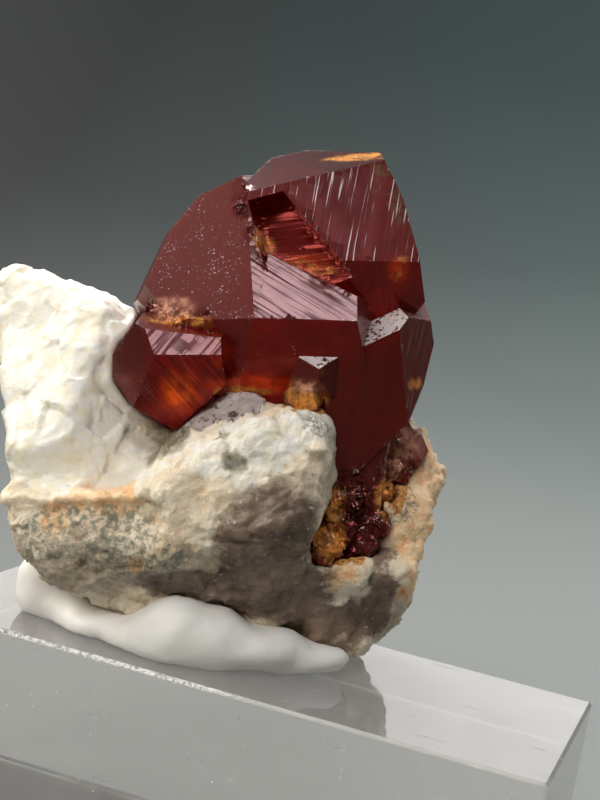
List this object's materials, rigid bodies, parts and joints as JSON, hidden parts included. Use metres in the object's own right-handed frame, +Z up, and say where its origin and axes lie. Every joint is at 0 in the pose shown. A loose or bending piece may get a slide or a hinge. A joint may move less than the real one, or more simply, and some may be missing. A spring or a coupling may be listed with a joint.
{
  "type": "garnet crystal specimen in matrix",
  "caption": "Red-brown garnet crystals on a feldspar and smoky quartz matrix, set in white putty on a clear acrylic block that rests flat.",
  "frame": {"origin": "middle of the acrylic block's underside", "axes": "+Z up out of the block's top, +X along the block's long side, -Y towards the good face of the specimen"},
  "size_m": [0.0341, 0.016, 0.0358],
  "materials": {
    "garnet": "flat glassy crystal faces, some frosted or striped, dark red to orange",
    "matrix": "rough cream feldspar with smoky grey-brown quartz and dark specks",
    "putty": "soft white putty, pressed by hand",
    "acrylic": "clear polished acrylic with light scratches and a rough-cut front edge"
  },
  "bodies": {
    "root": {"garnet_cluster": "garnet", "matrix": "matrix", "mounting_putty": "putty", "acrylic_base": "acrylic"}
  },
  "joints": []
}
